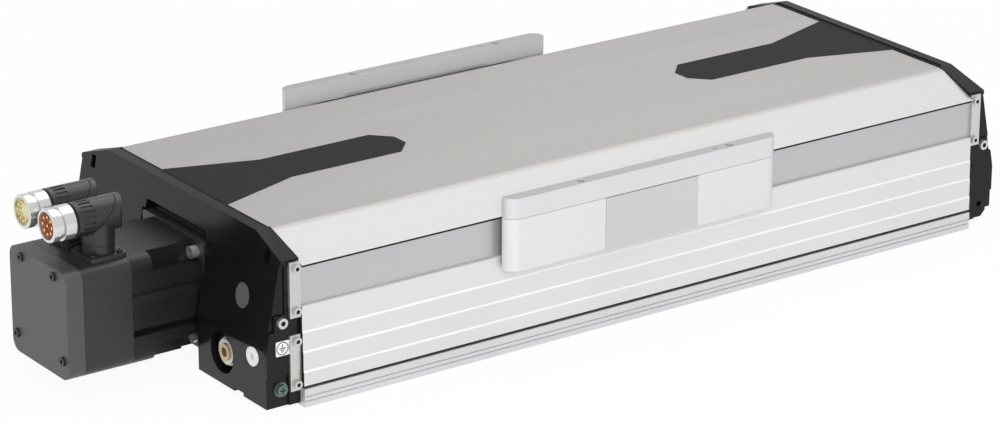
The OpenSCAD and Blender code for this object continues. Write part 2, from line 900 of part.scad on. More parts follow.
module nut_screws() {
    color("dimgray") at_carriage() at_nut_screws() translate([0, 0, nut_flange_t])
        socket_screw(nut_screw_r, nut_head_r, nut_head_h, nut_flange_t + nut_screw_in);
}

// Arm: through the side slot and up outside the cover's edge, inside the bowed strip.
module arm() {
    color("silver") at_carriage() {
        translate([-arm_l / 2, -wing_in - riser_t, plate_z])
            cube([arm_l, wing_in + riser_t - plate_half, arm_t]);
        translate([-arm_l / 2, -wing_in - riser_t, plate_z])
            cube([arm_l, riser_t, bar_bottom - plate_z + 2]);
    }
}

// Plan outline of a wing, with its outer corners rounded.
module wing_plan() {
    difference() {
        translate([-wing_l / 2, -wing_y]) square([wing_l, wing_t]);
        for (s = [-1, 1]) translate([s * (wing_l / 2 - wing_r), -wing_y + wing_r])
            difference() {
                translate([s > 0 ? 0 : -wing_r - 1, -wing_r - 1]) square(wing_r + 1);
                circle(wing_r);
            }
    }
}

function payload_holes() = [for (s = [-1, 1]) payload_x + s * payload_pitch / 2];

module wing() {
    color("lightgray") at_carriage() difference() {
        union() {
            translate([0, 0, bar_bottom]) linear_extrude(wing_top - bar_bottom) wing_plan();
            translate([mid_x - mid_plate_l / 2, -wing_y, wing_bottom])
                cube([mid_plate_l, wing_y - strip_bow - 1, bar_bottom - wing_bottom + eps]);
        }
        // Seat of the arm's riser
        translate([-arm_l / 2, -wing_in - riser_t, bar_bottom - 1]) cube([arm_l, riser_t + 1, 3]);
        for (x = payload_holes()) translate([x, -hole_y, wing_top - payload_depth])
            cylinder(r = payload_r, h = payload_depth + 1);
        translate([payload_holes()[1] - dowel_dx, -hole_y, wing_top - 8])
            cylinder(r = dowel_r, h = 9);
        for (s = [-1, 1]) translate([mid_x + s * (mid_plate_l / 2 - 1), -wing_y - 1, wing_bottom - 1])
            cube([4, 2, 3.4], center = true);
    }
}

// Plastic guides at both ends of each wing, which turn the strip out round the arm.
module strip_guides() {
    depth = wing_y - strip_bow - 1;
    color("white") both_sides() at_carriage() for (s = [-1, 1]) {
        difference() {
            intersection() {
                translate([0, 0, wing_bottom])
                    linear_extrude(bar_bottom - guide_step - wing_bottom) wing_plan();
                translate([s > 0 ? mid_x + mid_plate_l / 2 + 0.1 : -wing_l, -wing_y - 1, 0])
                    cube([s > 0 ? wing_l : wing_l + mid_x - mid_plate_l / 2 - 0.1, wing_t + 2,
                          wing_top]);
            }
            // Channel that the strip runs in
            translate([0, 0, strip_z0 - 1]) linear_extrude(strip_z1 - strip_z0 + 2) polygon([
                [0, -wing_y + depth],
                [s * (wing_l / 2 - strip_lead - strip_run_in + 2), -wing_y + depth],
                [s * (wing_l / 2 - 0.6), -wing_in + 2], [0, -wing_in + 2],
            ]);
        }
    }
}

// Drive

module motor_bracket() {
    color("silver") at_front() difference() {
        union() {
            drive_bar(flange_w, 3, -adapter_t, 0);
            translate([0, -bracket_half, base_t])
                cube([bracket_l, 2 * bracket_half, bracket_top - base_t]);
        }
        drive_rod(bell_r, -adapter_t - 1, bracket_l - bell_wall);
        drive_rod(bearing_od / 2 - ring_wall, 0, bracket_l + 1);
        drive_rod(pilot_r + 0.05, -adapter_t - 1, -adapter_t + pilot_t + 0.2);
        at_flange_screws() translate([0, 0, -flange_t - adapter_t - 1])
            cylinder(r = 2.1, h = flange_t + adapter_t + 2);
    }
}

module fixed_bearing_block() {
    x0 = bracket_l;
    color("gray") at_front() difference() {
        translate([x0, -bracket_half, base_t])
            cube([block_t, 2 * bracket_half, bracket_top - base_t]);
        drive_rod(bearing_od / 2, x0 - 1, x0 + 2 * bearing_w);
        drive_rod(bearing_od / 2 - ring_wall, x0, x0 + block_t + 1);
    }
}

module idle_bearing_block() {
    x0 = hl - idle_in - idle_l;
    color("gray") difference() {
        translate([x0, -bracket_half, base_t])
            cube([idle_l, 2 * bracket_half, bracket_top - base_t]);
        drive_rod(bearing_od / 2, x0 - 1, x0 + shoulder + bearing_w);
        drive_rod(bearing_od / 2 - ring_wall, x0, x0 + idle_l + 1);
    }
}

// Left faces of the three bearings: two at the driving end, one at the idle end.
function bearing_faces() = [
    -hl + bracket_l, -hl + bracket_l + bearing_w, hl - idle_in - idle_l + shoulder,
];

module bearing_outer_rings() {
    color("lightgray") for (x = bearing_faces())
        drive_ring(bearing_od / 2, bearing_od / 2 - ring_wall, x, x + bearing_w);
}

module bearing_inner_rings() {
    color("lightgray") for (x = bearing_faces())
        drive_ring(bearing_bore / 2 + ring_wall, bearing_bore / 2, x, x + bearing_w);
}

module bearing_balls() {
    color("silver") for (x = bearing_faces(), i = [0:balls - 1])
        translate([x + bearing_w / 2, 0, axis_z]) rotate([i * 360 / balls, 0, 0])
            translate([0, race_r, 0]) sphere(ball_r);
}

module ball_screw() {
    x_hub = -hl + hub_x + hub_l + spider_t + 1;
    x_nut = -hl + bracket_l - lock_t;
    x_shoulder = -hl + bracket_l + 2 * bearing_w;
    x_idle = hl - idle_in - idle_l + shoulder;
    color("silver") {
        drive_rod(journal_r, x_hub, x_nut);
        drive_rod(bearing_bore / 2, x_nut, x_shoulder);
        drive_rod(screw_d / 2, x_shoulder, x_idle);
        drive_rod(bearing_bore / 2, x_idle, x_idle + bearing_w + 6);
    }
}

module lock_nut() {
    x0 = -hl + bracket_l - lock_t;
    color("dimgray") drive_ring(lock_r, bearing_bore / 2, x0, x0 + lock_t);
}

// Jaw coupling: two clamping hubs with the elastic spider between them.
module shaft_coupling() {
    x0 = -hl + hub_x;
    x1 = x0 + hub_l + spider_t;
    color("darkgray") {
        drive_ring(hub_r, motor_shaft_r, x0, x0 + hub_l);
        drive_ring(hub_r, journal_r, x1, x1 + hub_l - 3);
    }
    color("firebrick") drive_ring(hub_r - 1, 4, x0 + hub_l, x1);
}

module motor_rotor() {
    color("gray") at_front() {
        drive_rod(motor_shaft_r, seam_1 - 4, hub_x + hub_l);
        drive_rod(rotor_r, seam_2 + 6, flange_back - 4);
    }
}

// Motor

// Screw places on the motor's flange: local +Z points at the motor's rear, local +X and +Y
// point away from the motor's axis.
module at_flange_screws() {
    d = flange_pcd / 2 / sqrt(2);
    for (a = [0:90:270]) translate([flange_back, 0, axis_z]) rotate([0, -90, 0]) rotate(a)
        translate([d, d, 0]) children();
}

module motor_flange() {
    color("#2f2f30") at_front() difference() {
        union() {
            drive_bar(flange_w, 3, flange_back, -adapter_t);
            drive_rod(pilot_r, -adapter_t - 1, -adapter_t + pilot_t);
        }
        drive_rod(motor_shaft_r + 0.5, flange_back - 1, 0);
        at_flange_screws() translate([0, 0, -flange_t - 1])
            cylinder(r = 2.6, h = flange_t + 2);
    }
}

module motor_flange_screws() {
    color("silver") at_front() at_flange_screws()
        socket_screw(2.08, 4.2, 5, flange_t + adapter_t - 1);
}

// Groove along both sides of the motor: sloping from the rib's edge in, steep at the outer edge.
module side_groove(rib, outer, depth, x0, x1) {
    y = motor_w / 2;
    floor_z = outer - sign(outer - rib) * groove_lip;
    for (s = [-1, 1]) translate([x0, 0, axis_z]) extrude_x(x1 - x0) polygon([
        [s * (y + 1), rib], [s * y, rib], [s * (y - depth), floor_z],
        [s * y, outer], [s * (y + 1), outer],
    ]);
}

// Notches along the corners of the stator case, which leave room for the flange screws.
module corner_notches(x0, x1) {
    for (s = [-1, 1], t = [-1, 1])
        translate([x0, 0, axis_z]) extrude_x(x1 - x0)
            translate([s * (stator_w / 2 + motor_w / 2), t * (notch_floor + motor_w / 2)])
                square(motor_w, center = true);
}

module motor_stator() {
    color("#323233") at_front() difference() {
        drive_bar(motor_w, motor_r, seam_2, flange_back);
        corner_notches(stator_step, flange_back + 1);
        for (i = [0, 1])
            side_groove(groove_rib[i], groove_out[i], groove_d, seam_2 - 1, flange_back + 1);
        side_groove(line_rib, line_out, line_d, stator_step, flange_back + 1);
        drive_rod(rotor_r + 0.6, seam_2 - 1, flange_back - 3);
        drive_rod(motor_shaft_r + 0.5, flange_back - 4, 0);
        // Corner pockets for the flange screws
        at_flange_screws() {
            translate([0, 0, -1]) cylinder(r = pocket_r, h = screw_pocket_l);
            translate([0, -pocket_r, -1]) cube([pocket_r * 3, 2 * pocket_r, screw_pocket_l]);
            translate([-pocket_r, 0, -1]) cube([2 * pocket_r, pocket_r * 3, screw_pocket_l]);
        }
    }
}

module motor_housing() {
    color("#323233") at_front() difference() {
        drive_bar(motor_w, motor_r, seam_1, seam_2);
        drive_rod(rotor_r + 0.6, seam_1 + 3, seam_2 + 1);
        drive_rod(motor_shaft_r + 0.5, seam_1 - 1, seam_2);
    }
}

module motor_rear_cover() {
    color("#3a3938") at_front() difference() {
        drive_bar(motor_w, motor_r, -motor_l, seam_1);
        drive_rod(motor_shaft_r + 2, seam_1 - 6, seam_1 + 1);
        at_cover_screws() translate([0, 0, -cover_screw_l - 1])
            cylinder(r = cover_screw_r + 0.02, h = cover_screw_l + 3);
    }
}

module at_cover_screws() {
    for (p = cover_screws_at, s = [-1, 1])
        translate([-motor_l, s * p[0], axis_z + p[1]]) rotate([0, -90, 0]) children();
}

module motor_cover_screws() {
    color("#202020") at_front() at_cover_screws()
        socket_screw(cover_screw_r, cover_head_r, cover_head_h, cover_screw_l);
}

// Connectors

module at_swivel(s) {
    translate([-hl - conn_x, s * conn_y, 0]) children();
}

module connector_plates() {
    color("#262627") for (s = [-1, 1]) at_swivel(s) translate([0, 0, motor_top]) {
        difference() {
            linear_extrude(conn_plate_t) round_square(conn_plate_w, conn_plate_w, 2.5);
            at_plate_screws() translate([0, 0, -1]) cylinder(r = 1.4, h = conn_plate_t + 2);
        }
        translate([0, 0, conn_plate_t]) cylinder(r = stem_r - 1.6, h = 4);
    }
}

module at_plate_screws() {
    d = conn_plate_w / 2 - conn_screw_in;
    for (x = [-1, 1], y = [-1, 1]) translate([x * d, y * d, 0]) children();
}

module connector_plate_screws() {
    color("#1b1b1b") for (s = [-1, 1]) at_swivel(s)
        translate([0, 0, motor_top + conn_plate_t]) at_plate_screws()
            socket_screw(1.38, 1.9, 1.6, conn_plate_t);
}

module elbow() {
    z0 = motor_top + conn_plate_t;
    color("#232324") difference() {
        union() {
            translate([0, 0, z0 + 0.1]) cylinder(r = stem_r, h = conn_axis_z - z0);
            translate([-conn_reach + barrel_l, 0, conn_axis_z]) rotate([0, 90, 0])
                cylinder(r = conn_r, h = conn_reach - barrel_l + 1);
            // The back is rounded in plan, so that the two elbows turn past each other
            intersection() {
                translate([0, 0, conn_axis_z]) rotate([0, 90, 0]) cylinder(r = conn_r, h = conn_y);
                translate([0, 0, z0]) cylinder(r = conn_y - 0.4, h = 2 * conn_rise);
            }
        }
        translate([0, 0, z0 - 1]) cylinder(r = stem_r - 1.55, h = 5.2);
        // Mitred parting line between the two halves of the elbow
        intersection() {
            difference() {
                translate([0, 0, conn_axis_z]) rotate([0, -45, 0])
                    cube([2 * conn_reach, 2 * conn_reach, parting_w], center = true);
                translate([0, 0, z0]) cylinder(r = stem_r - parting_w, h = conn_rise);
                translate([-conn_reach, 0, conn_axis_z]) rotate([0, 90, 0])
                    cylinder(r = conn_r - parting_w, h = 2 * conn_reach);
            }
            translate([-conn_y, -conn_y, z0 + 8]) cube([2 * conn_y, 2 * conn_y, 2 * conn_rise]);
        }
        // Turned neck over the plate
        translate([0, 0, z0 + 5.4]) difference() {
            cylinder(r = stem_r + 1, h = 0.8);
            translate([0, 0, -1]) cylinder(r = stem_r - parting_w, h = 3);
        }
        // Grip flutes round the body, behind the barrel
        for (i = [0:flutes - 1]) translate([-conn_reach + barrel_l + 1.2, 0, conn_axis_z])
            rotate([i * 360 / flutes, 0, 0]) translate([0, 0, conn_r])
                cube([2 * flute_l, flute_w, 2 * flute_d], center = true);
    }
}

module barrel() {
    color("silver") translate([-conn_reach, 0, conn_axis_z]) rotate([0, 90, 0])
        rotate_extrude() polygon([
            [insert_r, 0], [conn_r - 0.7, 0], [conn_r - 0.3, 0.5], [conn_r - 0.3, 5],
            [conn_r - 1.4, 5.6], [conn_r - 1.4, 7.4], [conn_r, 8], [conn_r, 15.5],
            [conn_r - 1, 16], [conn_r - 1, 17], [conn_r, 17.5], [conn_r, barrel_l],
            [insert_r, barrel_l],
        ]);
}

module insert(c) {
    color(c) translate([-conn_reach + insert_in, 0, conn_axis_z]) rotate([0, 90, 0])
        cylinder(r = insert_r, h = barrel_l - insert_in);
}

module pins(ring_r, n, centre) {
    color("gold") translate([-conn_reach + insert_in, 0, conn_axis_z]) rotate([0, -90, 0]) {
        for (i = [0:n - 1]) rotate(i * 360 / n) translate([ring_r, 0, 0])
            cylinder(r = pin_r, h = pin_out);
        if (centre) cylinder(r = pin_r, h = pin_out);
    }
}

module bumpers() {
    z = plate_z + plate_t / 2;
    color("#303030") for (e = [0, 1], s = [-1, 1]) mirror([e, 0, 0])
        translate([-hl + bumper_post, s * bumper_y, z]) rotate([0, 90, 0])
            cylinder(r = bumper_r - 1, h = bumper_l);
}

base_extrusion();
side_panel();  // near_side_panel
mirror([0, 1, 0]) side_panel();  // far_side_panel
top_cover();
front_end_cap();
rear_end_cap();
cap_screws();
seal_strip();  // near_seal_strip
mirror([0, 1, 0]) seal_strip();  // far_seal_strip
seal_clamps();
panel_clamps();
clamp_screws();
end_decals();
side_screws();
ground_screw();
round_plug();
air_fitting();
air_fitting_collet();
lube_plug();
rail();  // near_rail
mirror([0, 1, 0]) rail();  // far_rail
rail_screws();
motor_bracket();
fixed_bearing_block();
bearing_outer_rings();
idle_bearing_block();
bumpers();
motor_flange();
motor_stator();
motor_housing();
motor_rear_cover();
motor_cover_screws();
motor_flange_screws();
connector_plates();
connector_plate_screws();
at_swivel(-1) elbow();  // near_connector_elbow
at_swivel(-1) barrel();  // near_connector_barrel
at_swivel(-1) insert("#a2361c");  // near_connector_insert
at_swivel(-1) pins(5.6, 8, true);  // near_connector_pins
at_swivel(1) elbow();  // far_connector_elbow
at_swivel(1) barrel();  // far_connector_barrel
at_swivel(1) insert("#e3e8a8");  // far_connector_insert
at_swivel(1) pins(6.2, 12, false);  // far_connector_pins
carriage_plate();
rail_blocks();
block_screws();
nut_bracket();
ball_nut();
nut_screws();
arm();  // near_arm
mirror([0, 1, 0]) arm();  // far_arm
wing();  // near_wing
mirror([0, 1, 0]) wing();  // far_wing
strip_guides();
ball_screw();
lock_nut();
bearing_inner_rings();
bearing_balls();
shaft_coupling();
motor_rotor();
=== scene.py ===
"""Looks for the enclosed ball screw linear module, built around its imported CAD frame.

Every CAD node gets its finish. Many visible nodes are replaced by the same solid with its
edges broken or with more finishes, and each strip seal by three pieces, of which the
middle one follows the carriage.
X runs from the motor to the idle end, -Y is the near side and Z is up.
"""
import json
import math

import bmesh
import bpy
from mathutils import Matrix, Vector


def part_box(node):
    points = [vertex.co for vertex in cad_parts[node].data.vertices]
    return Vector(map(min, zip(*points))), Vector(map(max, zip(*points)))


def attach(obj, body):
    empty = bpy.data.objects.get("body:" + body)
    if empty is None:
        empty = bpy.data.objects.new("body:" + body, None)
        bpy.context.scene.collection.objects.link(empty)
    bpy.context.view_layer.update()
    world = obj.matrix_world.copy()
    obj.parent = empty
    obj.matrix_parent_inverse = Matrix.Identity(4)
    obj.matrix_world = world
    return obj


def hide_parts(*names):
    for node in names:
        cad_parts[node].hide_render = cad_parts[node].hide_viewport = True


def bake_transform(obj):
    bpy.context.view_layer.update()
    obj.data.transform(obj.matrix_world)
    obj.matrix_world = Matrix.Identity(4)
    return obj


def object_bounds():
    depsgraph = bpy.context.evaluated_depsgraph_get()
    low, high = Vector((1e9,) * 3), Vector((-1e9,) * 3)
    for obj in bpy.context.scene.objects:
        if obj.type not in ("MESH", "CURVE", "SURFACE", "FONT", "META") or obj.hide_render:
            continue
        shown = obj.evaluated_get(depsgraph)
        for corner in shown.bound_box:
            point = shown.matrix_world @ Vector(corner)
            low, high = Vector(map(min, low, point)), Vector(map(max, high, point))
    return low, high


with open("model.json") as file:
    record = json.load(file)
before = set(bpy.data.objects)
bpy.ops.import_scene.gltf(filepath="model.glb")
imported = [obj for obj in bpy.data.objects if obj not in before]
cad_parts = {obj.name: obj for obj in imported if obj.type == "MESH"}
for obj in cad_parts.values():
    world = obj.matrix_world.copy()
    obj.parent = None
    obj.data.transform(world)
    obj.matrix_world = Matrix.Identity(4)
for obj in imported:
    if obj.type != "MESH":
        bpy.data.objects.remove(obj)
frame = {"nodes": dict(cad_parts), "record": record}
CAD_BOX = [list(c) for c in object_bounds()]
MM = 0.001
NODES = frame["nodes"]
BODY_OF = {n: b for b, ns in frame["record"]["behaviour"]["bodies"].items() for n in ns}
SLOT_OF = {s["node"]: s["material_slot"] for s in frame["record"]["subparts"]}
MIRROR = {"near": 1, "far": -1}    # factor on Y for each side, from the near side's shape


# ---------------------------------------------------------------- materials

NOISE_ROUGH = 0.55
FINE_DETAIL, SLOW_DETAIL = 4.0, 2.0
FINE_SPAN = 0.3, 0.7      # the fine noise's values between which a finish changes
SLOW_SPAN = 0.35, 0.65    # the same for the slow noise
DRIFT = 0.97              # factor on the colour where the slow noise is low


def new_material(name):
    mat = bpy.data.materials.new(name)
    mat.use_nodes = True
    tree = mat.node_tree
    return mat, tree, tree.nodes["Principled BSDF"]


def link(tree, a, b):
    tree.links.new(a, b)


def coords(tree, scale):
    """Object coordinates times a scale per axis, for a texture."""
    tex = tree.nodes.new("ShaderNodeTexCoord")
    mapping = tree.nodes.new("ShaderNodeMapping")
    mapping.inputs["Scale"].default_value = scale
    link(tree, tex.outputs["Object"], mapping.inputs["Vector"])
    return mapping.outputs["Vector"]


def noise_tex(tree, scale, detail):
    tex = tree.nodes.new("ShaderNodeTexNoise")
    tex.inputs["Scale"].default_value = 1.0
    tex.inputs["Detail"].default_value = detail
    tex.inputs["Roughness"].default_value = NOISE_ROUGH
    link(tree, coords(tree, scale), tex.inputs["Vector"])
    return tex.outputs["Fac"]


def ramp(tree, fac, stops):
    node = tree.nodes.new("ShaderNodeValToRGB")
    elements = node.color_ramp.elements
    elements[0].position, elements[0].color = stops[0][0], (*stops[0][1], 1)
    elements[1].position, elements[1].color = stops[-1][0], (*stops[-1][1], 1)
    for pos, color in stops[1:-1]:
        elements.new(pos).color = (*color, 1)
    link(tree, fac, node.inputs["Fac"])
    return node.outputs["Color"]


def spread(tree, fac, low, high):
    """The fine noise's span, stretched from low to high."""
    node = tree.nodes.new("ShaderNodeMapRange")
    node.inputs["From Min"].default_value = FINE_SPAN[0]
    node.inputs["From Max"].default_value = FINE_SPAN[1]
    node.inputs["To Min"].default_value = low
    node.inputs["To Max"].default_value = high
    link(tree, fac, node.inputs["Value"])
    return node.outputs["Result"]


def bump(tree, fac, strength, distance):
    node = tree.nodes.new("ShaderNodeBump")
    node.inputs["Strength"].default_value = strength
    node.inputs["Distance"].default_value = distance
    link(tree, fac, node.inputs["Height"])
    return node.outputs["Normal"]


def shade(color, k):
    return tuple(min(1.0, c * k) for c in color)


def surface(name, color, metallic, rough, grain, vary=0.06, rough_vary=0.06,
            bump_by=0.15, depth=2e-5, blotch=(9, 9, 9), spec=0.5):
    """A finish with fine grain in its colour, gloss and relief, over slow colour drift."""
    mat, tree, bsdf = new_material(name)
    fine = noise_tex(tree, grain, FINE_DETAIL)
    slow = noise_tex(tree, blotch, SLOW_DETAIL)
    grained = ramp(tree, fine, [(FINE_SPAN[0], shade(color, 1 - vary)),
                                (sum(FINE_SPAN) / 2, color),
                                (FINE_SPAN[1], shade(color, 1 + vary))])
    drifting = ramp(tree, slow, [(SLOW_SPAN[0], (DRIFT, DRIFT, DRIFT)),
                                 (SLOW_SPAN[1], (1, 1, 1))])
    mix = tree.nodes.new("ShaderNodeMix")
    mix.data_type = "RGBA"
    mix.blend_type = "MULTIPLY"
    mix.inputs["Factor"].default_value = 1.0
    link(tree, grained, mix.inputs["A"])
    link(tree, drifting, mix.inputs["B"])
    link(tree, mix.outputs["Result"], bsdf.inputs["Base Color"])
    bsdf.inputs["Metallic"].default_value = metallic
    bsdf.inputs["Specular IOR Level"].default_value = spec
    link(tree, spread(tree, fine, rough - rough_vary, rough + rough_vary),
         bsdf.inputs["Roughness"])
    link(tree, bump(tree, fine, bump_by, depth), bsdf.inputs["Normal"])
    return mat


FINISHES = {
    # name: colour, metallic, roughness, grain per metre, options
    "anodised_base": ((0.64, 0.64, 0.65), 0.5, 0.46, (10, 2600, 2600), {"vary": 0.05}),
    "anodised_panel": ((0.69, 0.69, 0.70), 0.5, 0.45, (7, 2400, 2400), {"vary": 0.035}),
    "brushed_cover": ((0.42, 0.411, 0.398), 0.6, 0.40, (4, 1500, 1500),
                      {"vary": 0.07, "bump_by": 0.12, "blotch": (1.5, 40, 40)}),
    # next: a brighter copy of the cover's finish for its slopes, painted light
    "painted_lit_slope": ((0.455, 0.455, 0.452), 0.6, 0.40, (4, 1500, 1500),
                      {"vary": 0.05, "bump_by": 0.12, "blotch": (1.5, 40, 40)}),
    "black_cap": ((0.006, 0.006, 0.0062), 0.0, 0.20, (700, 700, 700),
                  {"vary": 0.15, "rough_vary": 0.03, "bump_by": 0.04, "depth": 6e-6,
                   "spec": 0.24}),
    "dull_cap": ((0.006, 0.006, 0.0062), 0.0, 0.34, (900, 900, 900),
                 {"vary": 0.2, "bump_by": 0.1, "spec": 0.10}),
    "strip_steel": ((0.492, 0.484, 0.503), 0.6, 0.36, (6, 3000, 3000), {"vary": 0.035}),
    "black_panel": ((0.0125, 0.0122, 0.0122), 0.0, 0.62, (1800, 1800, 1800),
                    {"vary": 0.15, "spec": 0.12}),
    "plated_steel": ((0.62, 0.62, 0.60), 0.85, 0.32, (500, 500, 500),
                     {"vary": 0.04, "bump_by": 0.04}),
    "green_steel": ((0.13, 0.19, 0.165), 0.75, 0.30, (900, 900, 900), {"vary": 0.12}),
    "grey_plastic": ((0.085, 0.085, 0.09), 0.0, 0.5, (1800, 1800, 1800),
                     {"vary": 0.25, "spec": 0.3}),
    "brass": ((0.56, 0.43, 0.27), 0.9, 0.32, (1400, 1400, 1400), {"vary": 0.12}),
    "white_plastic": ((0.74, 0.74, 0.72), 0.0, 0.38, (900, 900, 900), {"vary": 0.03}),
    "hard_steel": ((0.50, 0.51, 0.53), 0.95, 0.26, (20, 3000, 3000), {"vary": 0.08}),
    "dark_steel": ((0.05, 0.05, 0.052), 0.7, 0.36, (1500, 1500, 1500), {"vary": 0.2}),
    "machined_aluminium": ((0.66, 0.66, 0.67), 0.9, 0.38, (1800, 60, 1800), {"vary": 0.06}),
    "black_rubber": ((0.012, 0.012, 0.012), 0.0, 0.75, (900, 900, 900),
                     {"vary": 0.25, "spec": 0.15}),
    "motor_black": ((0.022, 0.0218, 0.0215), 0.0, 0.36, (1300, 1300, 1300),
                    {"vary": 0.22, "bump_by": 0.25, "depth": 3e-5, "spec": 0.42}),
    # next: a darker copy of motor_black for the stator, painted shade
    "stator_shaded_black": ((0.0095, 0.0095, 0.0095), 0.0, 0.34, (1300, 1300, 1300),
                     {"vary": 0.22, "spec": 0.32}),
    # next: a lighter copy of motor_black for the motor's rear cover, painted light
    "motor_rear": ((0.062, 0.0603, 0.0562), 0.0, 0.42, (1300, 1300, 1300),
                   {"vary": 0.18, "bump_by": 0.35, "depth": 5e-5, "spec": 0.45}),
    "connector_black": ((0.018, 0.018, 0.018), 0.0, 0.32, (1500, 1500, 1500),
                        {"vary": 0.25}),
    "connector_chrome": ((0.70, 0.70, 0.69), 0.85, 0.20, (60, 60, 900),
                         {"vary": 0.03, "rough_vary": 0.03, "bump_by": 0.02}),
    "red_insert": ((0.30, 0.055, 0.025), 0.0, 0.42, (900, 900, 900), {"vary": 0.08}),
    "green_insert": ((0.70, 0.74, 0.50), 0.0, 0.42, (900, 900, 900), {"vary": 0.05}),
    "gold_pins": ((0.90, 0.68, 0.28), 1.0, 0.2, (900, 900, 900), {}),
    "silver_wing": ((0.64, 0.64, 0.65), 0.45, 0.40, (12, 3400, 3400), {"vary": 0.03}),
    # next: a darker copy of the wing's finish for its top faces, painted shade
    "shaded_wing_top": ((0.40, 0.40, 0.405), 0.45, 0.42, (12, 3400, 3400), {"vary": 0.04}),
    "dull_plate": ((0.55, 0.55, 0.56), 0.45, 0.42, (12, 3400, 3400), {"vary": 0.03}),
    # next: a lighter copy of the panel's finish for its ledges and top face, a painted highlight
    "painted_highlight_edge": ((0.75, 0.75, 0.76), 0.0, 0.30, (7, 2400, 2400), {"vary": 0.02}),
    "light_guide": ((0.58, 0.58, 0.59), 0.0, 0.34, (1200, 1200, 1200), {"vary": 0.02}),
    "coupling_alloy": ((0.52, 0.53, 0.55), 0.95, 0.3, (40, 2600, 2600), {"vary": 0.08}),
    "label_ink": ((0.05, 0.05, 0.055), 0.0, 0.6, (2600, 2600, 2600), {"vary": 0.1}),
}
MATS = {name: surface(name, *f[:4], **f[4]) for name, f in FINISHES.items()}
# Two motor nodes have a finish of their own inside the motor's slot: the rear cover a lighter
# copy of motor_black as painted light, the stator a darker copy as painted shade.
FINISH_OF = dict(SLOT_OF, motor_rear_cover="motor_rear", motor_stator="stator_shaded_black")
for node, obj in NODES.items():
    obj.data.materials.clear()
    obj.data.materials.append(MATS[FINISH_OF[node]])


# ---------------------------------------------------------------- making pieces

def link_object(name, data):
    obj = bpy.data.objects.new(name, data)
    bpy.context.scene.collection.objects.link(obj)
    return obj


def add_object(name, bm, *mats):
    mesh = bpy.data.meshes.new(name)
    for mat in mats:
        mesh.materials.append(mat)
    bm.to_mesh(mesh)
    bm.free()
    return link_object(name, mesh)


def stand_for(obj, node):
    """The piece takes a CAD node's place and body."""
    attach(obj, BODY_OF[node])
    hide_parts(node)


def apply_modifiers(obj):
    graph = bpy.context.evaluated_depsgraph_get()
    mesh = bpy.data.meshes.new_from_object(obj.evaluated_get(graph))
    obj.modifiers.clear()
    obj.data = mesh


WELD = 2e-6                        # metres between points that are one
FLAT_WITHIN = math.radians(0.6)    # bend below which two faces are merged


def clean_mesh(node):
    """A CAD node's faces, welded and merged where they are flat, without stored normals."""
    bm = bmesh.new()
    bm.from_mesh(NODES[node].data)
    bmesh.ops.remove_doubles(bm, verts=bm.verts, dist=WELD)
    bmesh.ops.dissolve_limit(bm, angle_limit=FLAT_WITHIN, verts=bm.verts, edges=bm.edges)
    bm.verts.index_update()
    points = [v.co.copy() for v in bm.verts]
    faces = [[v.index for v in f.verts] for f in bm.faces]
    bm.free()
    mesh = bpy.data.meshes.new(node + "_finish")
    mesh.from_pydata(points, [], faces)
    return mesh


def join_rings(bm, a, b):
    """Faces between two rings of points, in the rings' order."""
    n = len(a)
    return [bm.faces.new((a[i], a[(i + 1) % n], b[(i + 1) % n], b[i])) for i in range(n)]


def cut_faces(bm, point, normal):
    """Parts the faces along a plane and keeps both sides."""
    bmesh.ops.bisect_plane(bm, geom=bm.verts[:] + bm.edges[:] + bm.faces[:],
                           plane_co=point, plane_no=normal)


# ---------------------------------------------------------------- CAD nodes, edges broken

EDGE_ANGLE, LEDGE_ANGLE = 28, 12    # degrees from which an edge is broken
EDGE_SEGMENTS = 2
FLAT_WEIGHT = 100                   # pull of large faces on the shading normals


def paint_faces(mesh, finishes, heights, choose):
    """Parts the faces at some heights, then gives each the finish that choose() names.

    choose() takes a face's middle and normal, and None stands for the first finish.
    """
    bm = bmesh.new()
    bm.from_mesh(mesh)
    for z in heights:
        cut_faces(bm, (0, 0, z), (0, 0, 1))
    bm.normal_update()
    for face in bm.faces:
        finish = choose(face.calc_center_median(), face.normal)
        face.material_index = finishes.index(finish) if finish else 0
    bm.to_mesh(mesh)
    bm.free()


def rounded(node, width, angle=EDGE_ANGLE, heights=(), choose=None, extra=()):
    """Stands for a CAD node: the same solid with its sharp edges broken, width in mm."""
    mesh = clean_mesh(node)
    finishes = (FINISH_OF[node], *extra)
    for name in finishes:
        mesh.materials.append(MATS[name])
    if choose:
        paint_faces(mesh, finishes, heights, choose)
    mesh.shade_smooth()
    obj = link_object(mesh.name, mesh)
    edges = obj.modifiers.new("edges", "BEVEL")
    edges.width = width * MM
    edges.segments = EDGE_SEGMENTS
    edges.limit_method = "ANGLE"
    edges.angle_limit = math.radians(angle)
    edges.use_clamp_overlap = True
    flats = obj.modifiers.new("flats", "WEIGHTED_NORMAL")
    flats.mode = "FACE_AREA"
    flats.weight = FLAT_WEIGHT
    flats.keep_sharp = False
    apply_modifiers(obj)
    stand_for(obj, node)


PLAIN_EDGES = {    # widths of the broken edges in millimetres
    "motor_rear_cover": 0.7, "motor_housing": 0.25,
    "motor_stator": 0.3, "motor_flange": 0.5,
    "strip_guides": 0.4, "seal_clamps": 0.25, "panel_clamps": 0.25,
    "connector_plates": 0.4, "near_connector_elbow": 0.3, "far_connector_elbow": 0.3,
}
CAP_EDGE, COVER_EDGE, PANEL_EDGE, WING_EDGE = 0.6, 0.35, 0.15, 0.45

# Shares of an axis in a face's normal, above which the face counts as named.
STRAIGHT = 0.9                           # looks along the axis
CAP_TOP_UP = 0.3                         # a cap's upper side, of Z
# the cover's slope faces take painted light
SLOPE_UP, SLOPE_OUT = 0.5, 0.3           # the cover's slope, of Z and Y
